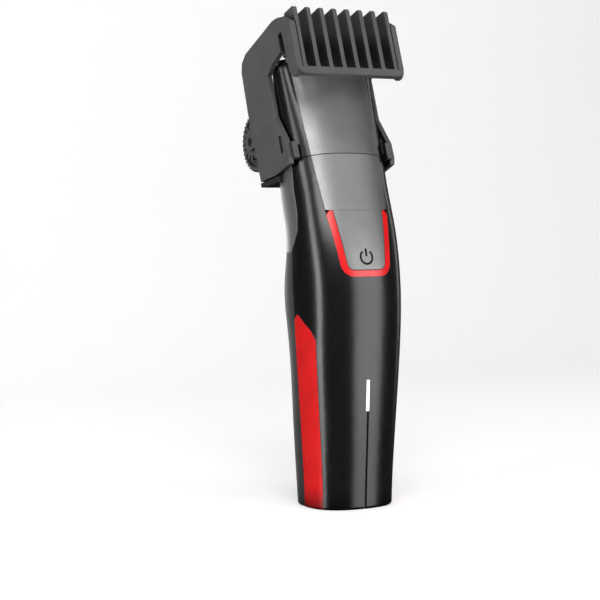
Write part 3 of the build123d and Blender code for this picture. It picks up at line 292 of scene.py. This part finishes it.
# Moulded: slot, colour, rubbed colour, roughness, grain size, grain depth, coat. Painted: slot, colour,
# flake colour, roughness, metallic. Metal: slot, colour, roughness, direction of the lines, their depth.
graphs = [
    moulded("gloss_black", colour(0.0065), colour(0.045), 0.26, 1.1 * MM, 0.0004 * MM, 0.25),
    moulded("satin_dark", colour(0.040), colour(0.09), 0.42, 0.22 * MM, 0.006 * MM),
    painted("metallic_grey", colour(0.34), colour(0.5), 0.36, 0.75),
    painted("gunmetal", colour(0.25), colour(0.38), 0.46, 0.85),
    moulded("red", colour(0.72, RED), colour(0.8, RED_RUBBED), 0.26, 0.7 * MM, 0.001 * MM, 0.2),
    light_pipe("light_white", colour(0.85)),
    moulded("guard_grey", colour(0.078), colour(0.16), 0.46, 0.20 * MM, 0.007 * MM),
    moulded("carriage_black", colour(0.009), colour(0.04), 0.40, 0.22 * MM, 0.006 * MM),
    metal("blade_steel", colour(0.62), 0.26, LINES_ACROSS, 0.0015 * MM),
    metal("steel", colour(0.52), 0.28, LINES_ACROSS, 0.0010 * MM),
    metal("motor_can", colour(0.58), 0.34, EVEN_GRAIN, 0.0015 * MM),
    moulded("inner_black", colour(0.022), colour(0.07), 0.5, 0.3 * MM, 0.005 * MM),
    moulded("inner_white", colour(0.68), colour(0.8), 0.4, 0.3 * MM, 0.004 * MM),
    moulded("rubber_black", colour(0.018), colour(0.05), 0.7, 0.35 * MM, 0.008 * MM),
    moulded(
        "board_green", colour(0.2, BOARD_GREEN), colour(0.3, BOARD_RUBBED), 0.35, 0.4 * MM, 0.004 * MM, 0.3
    ),
    moulded(
        "battery_blue", colour(0.5, BATTERY_BLUE), colour(0.6, BATTERY_RUBBED), 0.3, 0.6 * MM, 0.003 * MM, 0.3
    ),
    metal("nickel", colour(0.6, NICKEL), 0.3, LINES_ACROSS, 0.001 * MM),
    moulded("wire_red", colour(0.5, WIRE_RED), colour(0.6, WIRE_RUBBED), 0.4, 0.3 * MM, 0.003 * MM),
    light_pipe("led_white", colour(0.8)),
]
materials = {graph.name: graph.material for graph in graphs}

for subpart in frame["record"]["subparts"]:
    mesh = frame["nodes"][subpart["node"]].data
    mesh.materials.clear()
    mesh.materials.append(materials[subpart["material_slot"]])

# The wheel's axle is blackened, unlike the bright screws.
axle = frame["nodes"]["wheel_axle"].data
axle.materials.clear()
axle.materials.append(metal("blackened_steel", colour(0.06), 0.45, LINES_ACROSS, 0.0010 * MM).material)


def scene_object(name, mesh, material):
    """Turns a bmesh into an object of the scene with one material."""
    data = bpy.data.meshes.new(name)
    mesh.to_mesh(data)
    mesh.free()
    data.materials.append(material)
    made = bpy.data.objects.new(name, data)
    bpy.context.scene.collection.objects.link(made)
    return made


# ---------------------------------------------------------------- printed power symbol
SYMBOL_HEIGHT = 88.3 * MM
SYMBOL_RADIUS = 2.35 * MM
SYMBOL_LINE = 0.75 * MM
SYMBOL_INK = 0.03 * MM
SYMBOL_OPENING = radians(38)
SYMBOL_STEPS = 40
SYMBOL_BAR = (0.1, 0.4, 0.7, 1.0, 1.25)  # heights along the bar, in radii
RAY_START = -1.0


def ink_strip(mesh, surface, path, width):
    """Raised line of ink along a path of (x, z) points, pressed onto the surface that faces -Y."""
    rings = []
    for step, point in enumerate(path):
        before = path[max(step - 1, 0)]
        after = path[min(step + 1, len(path) - 1)]
        along = (after - before).normalized()
        side = Vector((-along.y, along.x)) * width / 2
        ring = []
        for share, lift in ((-1, -1), (-1, 1), (1, 1), (1, -1)):
            flat = point + side * share
            hit = surface.ray_cast(Vector((flat.x, RAY_START, flat.y)), Vector((0, 1, 0)))[0]
            ring.append(mesh.verts.new((flat.x, hit.y - lift * SYMBOL_INK, flat.y)))
        rings.append(ring)
    for ring, following in zip(rings, rings[1:]):
        for corner in range(4):
            other = (corner + 1) % 4
            mesh.faces.new((ring[corner], ring[other], following[other], following[corner]))
    mesh.faces.new(rings[0][::-1])
    mesh.faces.new(rings[-1])


INK_LEVELS = (0.004, 0.002)
INK_COVER_SIZE = 0.4 * MM
INK_DRY_SIZE = 0.2 * MM
INK_ROUGHNESS = (0.45, 0.6)
INK_SPECULAR = 0.15


def ink():
    """Dense black printing ink, slightly uneven."""
    graph = Graph("printed_ink")
    thin, thick = [colour(level) for level in INK_LEVELS]
    cover = graph.ramp(graph.noise(INK_COVER_SIZE, 3.0), *MIDDLE)
    graph.surface("Base Color", graph.blend(cover, thin, thick))
    graph.surface("Roughness", graph.ramp(graph.noise(INK_DRY_SIZE), *MIDDLE, *INK_ROUGHNESS))
    graph.surface("Specular IOR Level", INK_SPECULAR)
    return graph.material


def power_symbol():
    """Ring that is open at the top, with a bar through the opening."""
    button = frame["nodes"]["power_button"]
    surface = BVHTree.FromObject(button, bpy.context.evaluated_depsgraph_get())
    centre = Vector((0.0, SYMBOL_HEIGHT))
    sweep = 2 * pi - 2 * SYMBOL_OPENING
    ring = []
    for step in range(SYMBOL_STEPS + 1):
        angle = SYMBOL_OPENING + sweep * step / SYMBOL_STEPS
        ring.append(centre + SYMBOL_RADIUS * Vector((sin(angle), cos(angle))))
    bar = [centre + Vector((0.0, SYMBOL_RADIUS * share)) for share in SYMBOL_BAR]
    mesh = bmesh.new()
    ink_strip(mesh, surface, ring, SYMBOL_LINE)
    ink_strip(mesh, surface, bar, SYMBOL_LINE)
    bmesh.ops.recalc_face_normals(mesh, faces=mesh.faces)
    symbol = scene_object("power_symbol", mesh, ink())
    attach(symbol, "button")


power_symbol()


# ---------------------------------------------------------------- stage
FLOOR_HALF_WIDTH = 1.6
FLOOR_FRONT = -1.4
SWEEP_START = 0.35
SWEEP_RADIUS = 0.35
BACKDROP_TOP = 1.6
SWEEP_STEPS = 24

PAPER_LEVELS = (0.80, 0.84)
PAPER_ROUGHNESS = 0.85
PAPER_SPECULAR = 0.2
PAPER_GLOW = 0.30
FIBRE_SIZE = 3.0 * MM
FIBRE_DEPTH = 0.02 * MM


def stage_material():
    """Pale seamless paper, with a glow that only the camera sees."""
    graph = Graph("stage_paper")
    dark, pale = [colour(level) for level in PAPER_LEVELS]
    fibre = graph.noise(FIBRE_SIZE, 4.0)
    plain = graph.add("ShaderNodeNewGeometry").outputs["Normal"]
    rays = graph.add("ShaderNodeLightPath").outputs
    graph.surface("Base Color", graph.blend(fibre, dark, pale))
    graph.surface("Roughness", PAPER_ROUGHNESS)
    graph.surface("Normal", graph.bump(fibre, FIBRE_DEPTH, plain))
    graph.surface("Specular IOR Level", PAPER_SPECULAR)
    graph.surface("Emission Color", colour(1.0))
    graph.surface("Emission Strength", graph.math("MULTIPLY", rays["Is Camera Ray"], PAPER_GLOW))
    return graph.material


def backdrop():
    """Floor that sweeps up behind the object in one curve."""
    outline = [(FLOOR_FRONT, 0.0)]
    for step in range(SWEEP_STEPS + 1):
        angle = pi / 2 * step / SWEEP_STEPS
        outline.append((SWEEP_START + SWEEP_RADIUS * sin(angle), SWEEP_RADIUS * (1 - cos(angle))))
    outline.append((SWEEP_START + SWEEP_RADIUS, BACKDROP_TOP))
    mesh = bmesh.new()
    rows = []
    for y, z in outline:
        rows.append([mesh.verts.new((x, y, z)) for x in (-FLOOR_HALF_WIDTH, FLOOR_HALF_WIDTH)])
    for row, following in zip(rows, rows[1:]):
        face = mesh.faces.new((row[0], row[1], following[1], following[0]))
        face.smooth = True
    paper = scene_object("backdrop", mesh, stage_material())
    paper.visible_glossy = False


backdrop()


# ---------------------------------------------------------------- light
SOFTBOX_CORE = 0.35  # share of a softbox's half size that glows evenly, before it fades to its edge


def around(azimuth, elevation, distance):
    """Point at a distance from the object's middle: azimuth 0 is in front, 90 on its right."""
    a = radians(azimuth)
    e = radians(elevation)
    return AIM + distance * Vector((sin(a) * cos(e), -cos(a) * cos(e), sin(e)))


def softbox_glow(name, width, height, strength):
    """Emission that fades out towards the panel's edges."""
    graph = Graph(name)
    graph.tree.nodes.remove(graph.shader)
    parts = graph.add("ShaderNodeSeparateXYZ", {"Vector": graph.place}).outputs
    fade = []
    for part, half in ((parts["X"], width / 2), (parts["Y"], height / 2)):
        fade.append(graph.ramp(graph.math("ABSOLUTE", part), half, SOFTBOX_CORE * half))
    glow = graph.math("MULTIPLY", graph.math("MULTIPLY", fade[0], fade[1]), strength)
    emission = graph.add("ShaderNodeEmission", {"Strength": glow})
    graph.feed(graph.tree.nodes["Material Output"].inputs["Surface"], emission.outputs[0])
    return graph.material


def softbox(name, azimuth, elevation, distance, width, height, strength, lights=True):
    """Glowing panel that faces the object, or one that shows in reflections only."""
    mesh = bmesh.new()
    corners = ((-1, -1), (1, -1), (1, 1), (-1, 1))
    mesh.faces.new([mesh.verts.new((x * width / 2, y * height / 2, 0.0)) for x, y in corners])
    panel = scene_object(name, mesh, softbox_glow(name, width, height, strength))
    panel.location = around(azimuth, elevation, distance)
    panel.rotation_mode = "QUATERNION"
    panel.rotation_quaternion = (AIM - panel.location).to_track_quat("Z", "Y")
    panel.visible_camera = False
    panel.visible_shadow = False
    panel.visible_diffuse = lights


# Each panel's azimuth and elevation in degrees, distance, width, height and strength.
softbox("softbox_front", 30, 4, 0.9, 0.74, 1.30, 3.5)
softbox("softbox_left", -74, 4, 0.8, 0.30, 1.20, 6.0)
softbox("softbox_key", -28, 44, 0.9, 0.75, 0.75, 6.5)
softbox("softbox_right", 105, 10, 0.9, 0.22, 0.90, 1.2)
softbox("softbox_back", 178, 8, 0.55, 0.55, 0.70, 1.6, lights=False)
softbox("softbox_top", 0, 78, 1.0, 1.1, 0.9, 1.8)

SURROUND_LIGHT = 0.30
SURROUND_REFLECTED = 0.03


def world_light():
    """Even pale surround that is dim in reflections, so black parts stay black."""
    world = bpy.data.worlds.new("studio")
    bpy.context.scene.world = world
    world.use_nodes = True
    tree = world.node_tree
    path = tree.nodes.new("ShaderNodeLightPath")
    strength = tree.nodes.new("ShaderNodeMapRange")
    tree.links.new(path.outputs["Is Glossy Ray"], strength.inputs["Value"])
    strength.inputs["To Min"].default_value = SURROUND_LIGHT
    strength.inputs["To Max"].default_value = SURROUND_REFLECTED
    tree.links.new(strength.outputs["Result"], tree.nodes["Background"].inputs["Strength"])
    tree.nodes["Background"].inputs["Color"].default_value = colour(1.0)


world_light()
bpy.context.scene.view_settings.view_transform = "Standard"


# ---------------------------------------------------------------- camera
CAMERA_PLACE = (-0.3056, -0.5182, 0.1097)
CAMERA_AZIMUTH = radians(-29)
CAMERA_DROP = radians(3.53)
CAMERA_LENS = 102.0
CAMERA_SENSOR = 36.0
CAMERA_NEAR = 0.01
CAMERA_FAR = 20.0


def camera():
    """Camera to the left of the front, a little above the middle of the body."""
    data = bpy.data.cameras.new("camera")
    data.sensor_width = CAMERA_SENSOR
    data.lens = CAMERA_LENS
    data.clip_start = CAMERA_NEAR
    data.clip_end = CAMERA_FAR
    view = bpy.data.objects.new("camera", data)
    view.location = CAMERA_PLACE
    across = -sin(CAMERA_AZIMUTH) * cos(CAMERA_DROP)
    ahead = cos(CAMERA_AZIMUTH) * cos(CAMERA_DROP)
    direction = Vector((across, ahead, -sin(CAMERA_DROP)))
    view.rotation_mode = "QUATERNION"
    view.rotation_quaternion = direction.to_track_quat("-Z", "Y")
    bpy.context.scene.collection.objects.link(view)
    bpy.context.scene.camera = view


camera()
